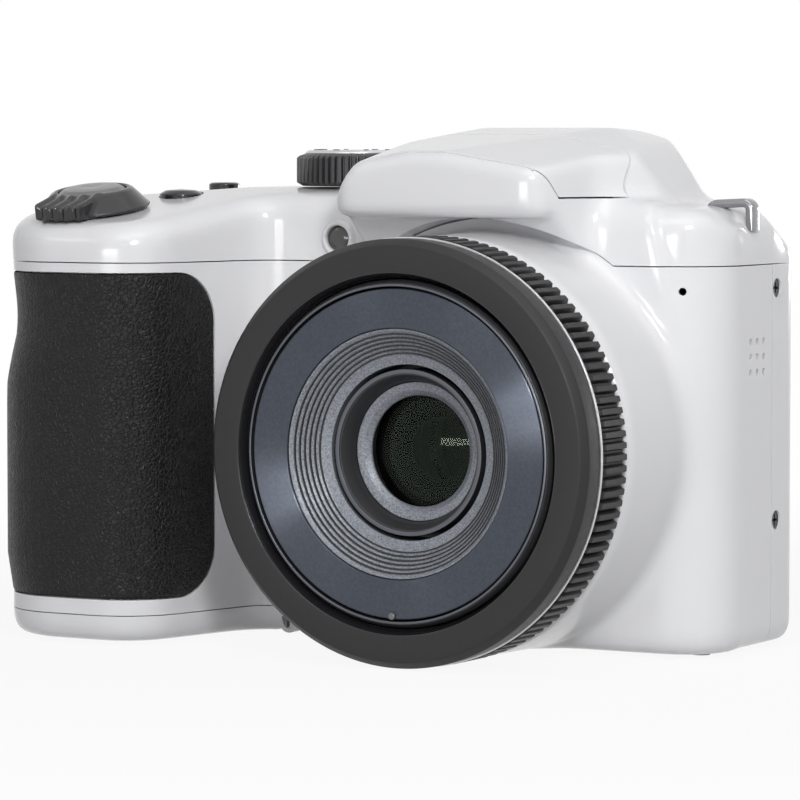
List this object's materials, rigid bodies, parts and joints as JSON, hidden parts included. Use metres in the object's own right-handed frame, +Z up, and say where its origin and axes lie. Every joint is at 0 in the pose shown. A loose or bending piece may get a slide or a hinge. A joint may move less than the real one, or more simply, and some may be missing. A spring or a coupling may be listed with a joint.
{
  "type": "bridge camera",
  "caption": "Bridge camera with a battery grip, retracting zoom lens, pop-up flash, mode dial, zoom lever, rear screen and keys, and a tripod socket in its base.",
  "frame": {"origin": "mouth of the tripod socket, on the base under the lens axis", "axes": "+X along the width away from the grip, +Y from the lens towards the screen, +Z up"},
  "size_m": [0.1207, 0.0664, 0.0838],
  "materials": {
    "white_shell": "satin white",
    "grip_rubber": "leather grain",
    "black_satin": "satin",
    "black_gloss": "gloss",
    "grey_plastic": "satin",
    "barrel_grey": "satin blue-grey",
    "silver_paint": "metallic silver",
    "steel": "brushed",
    "chrome": "polished",
    "gold": "plated",
    "frame_metal": "pressed sheet",
    "cell_jacket": "plain jacket",
    "board": "solder mask",
    "lens_glass": "coated",
    "flash_plastic": "ribbed diffuser",
    "screen_glass": "gloss window",
    "amber": "translucent",
    "red": "satin"
  },
  "bodies": {
    "body": {"front_cover": "white_shell", "rear_cover": "white_shell", "top_cover": "white_shell", "grip_skin": "grip_rubber", "battery_door_pin": "steel", "battery_cells": "cell_jacket", "battery_holder": "black_satin", "battery_contacts": "gold", "card_slot": "steel", "flash_capacitor": "black_gloss", "tripod_socket": "chrome", "lens_tube": "black_satin", "lens_base": "black_satin", "lens_name_ring": "black_satin", "lens_accent_ring": "silver_paint", "lens_rib_ring": "black_satin", "zoom_motor": "steel", "guide_rods": "steel", "image_sensor": "black_gloss", "sensor_board": "board", "main_frame": "frame_metal", "main_board": "board", "processor_chips": "black_satin", "speaker": "black_satin", "screen_module": "frame_metal", "screen_window": "screen_glass", "flash_pin": "steel", "focus_lamp": "amber", "strap_lugs": "chrome", "cover_screws": "black_satin"},
    "flash": {"flash_cover": "white_shell", "flash_reflector": "chrome", "flash_lens": "flash_plastic", "flash_lamp": "lens_glass"},
    "battery_door": {"battery_door": "white_shell", "battery_door_contacts": "gold"},
    "battery_latch": {"battery_door_latch": "grey_plastic"},
    "zoom_outer": {"zoom_barrel_outer": "barrel_grey"},
    "zoom_inner": {"zoom_barrel_inner": "barrel_grey", "lens_baffle": "grey_plastic", "front_lens_cell": "black_satin", "front_lens_retainer": "grey_plastic", "front_lens": "lens_glass"},
    "cam": {"cam_ring": "grey_plastic"},
    "drive_gear": {"zoom_drive_gear": "grey_plastic"},
    "variator": {"variator_cell": "black_satin", "variator_lens": "lens_glass"},
    "focus": {"focus_cell": "black_satin", "focus_lens": "lens_glass"},
    "shutter": {"shutter_button": "silver_paint"},
    "lever": {"zoom_lever": "grey_plastic"},
    "dial": {"mode_dial": "black_satin", "mode_dial_cap": "silver_paint"},
    "power": {"power_button": "black_gloss"},
    "function": {"function_button": "black_satin"},
    "record": {"record_button": "red"},
    "play": {"play_button": "black_satin"},
    "menu": {"menu_button": "black_satin"},
    "delete": {"delete_button": "black_satin"},
    "pad": {"pad_and_ok": "black_satin"}
  },
  "joints": [
    {"name": "zoom_extend", "type": "slide", "parent": "body", "child": "zoom_outer", "axis": [0, -1, 0], "range_m": [0, 0.022]},
    {"name": "zoom_extend_inner", "type": "slide", "parent": "zoom_outer", "child": "zoom_inner", "axis": [0, -1, 0], "range_m": [0, 0.022]},
    {"name": "cam_turn", "type": "hinge", "parent": "body", "child": "cam", "pos_m": [0, 0, 0.0335], "axis": [0, -1, 0], "range_deg": [0, 101]},
    {"name": "drive_gear_turn", "type": "hinge", "parent": "body", "child": "drive_gear", "pos_m": [-0.03317, 0, 0.02516], "axis": [0, -1, 0], "range_deg": [-851, 0]},
    {"name": "variator_slide", "type": "slide", "parent": "body", "child": "variator", "axis": [0, -1, 0], "range_m": [0, 0.0055]},
    {"name": "focus_slide", "type": "slide", "parent": "body", "child": "focus", "axis": [0, -1, 0], "range_m": [0, 0.002]},
    {"name": "flash_tilt", "type": "hinge", "parent": "body", "child": "flash", "pos_m": [0, -0.001, 0.0732], "axis": [-1, 0, 0], "range_deg": [0, 24]},
    {"name": "battery_door_swing", "type": "hinge", "parent": "body", "child": "battery_door", "pos_m": [-0.0395, 0, 0.0022], "axis": [0, -1, 0], "range_deg": [0, 90]},
    {"name": "battery_latch_slide", "type": "slide", "parent": "battery_door", "child": "battery_latch", "axis": [0, 1, 0], "range_m": [0, 0.003]},
    {"name": "shutter_press", "type": "slide", "parent": "body", "child": "shutter", "axis": [0, 0.165, -0.9863], "range_m": [0, 0.001], "stiffness_N_per_m": 300},
    {"name": "zoom_lever_turn", "type": "hinge", "parent": "body", "child": "lever", "pos_m": [-0.0665, -0.031, 0.07005], "axis": [0, -0.165, 0.9863], "range_deg": [-20, 20], "stiffness_Nm_per_rad": 0.01},
    {"name": "mode_dial_turn", "type": "hinge", "parent": "body", "child": "dial", "pos_m": [-0.0335, -0.002, 0.0739], "axis": [0, 0, 1], "continuous": true},
    {"name": "power_press", "type": "slide", "parent": "body", "child": "power", "axis": [0, 0, -1], "range_m": [0, 0.0004], "stiffness_N_per_m": 300},
    {"name": "function_press", "type": "slide", "parent": "body", "child": "function", "axis": [0, 0, -1], "range_m": [0, 0.0004], "stiffness_N_per_m": 300},
    {"name": "record_press", "type": "slide", "parent": "body", "child": "record", "axis": [0, -1, 0], "range_m": [0, 0.0004], "stiffness_N_per_m": 300},
    {"name": "play_press", "type": "slide", "parent": "body", "child": "play", "axis": [0, -1, 0], "range_m": [0, 0.0004], "stiffness_N_per_m": 300},
    {"name": "menu_press", "type": "slide", "parent": "body", "child": "menu", "axis": [0, -1, 0], "range_m": [0, 0.0004], "stiffness_N_per_m": 300},
    {"name": "delete_press", "type": "slide", "parent": "body", "child": "delete", "axis": [0, -1, 0], "range_m": [0, 0.0004], "stiffness_N_per_m": 300},
    {"name": "pad_press", "type": "slide", "parent": "body", "child": "pad", "axis": [0, -1, 0], "range_m": [0, 0.0004], "stiffness_N_per_m": 300}
  ],
  "couplings": [
    {"joint": "zoom_extend_inner", "follows": "zoom_extend", "ratio": 1},
    {"joint": "cam_turn", "follows": "zoom_extend", "rad_per_m": 79.33},
    {"joint": "drive_gear_turn", "follows": "zoom_extend", "rad_per_m": -674.3},
    {"joint": "variator_slide", "follows": "zoom_extend", "ratio": 0.25}
  ]
}
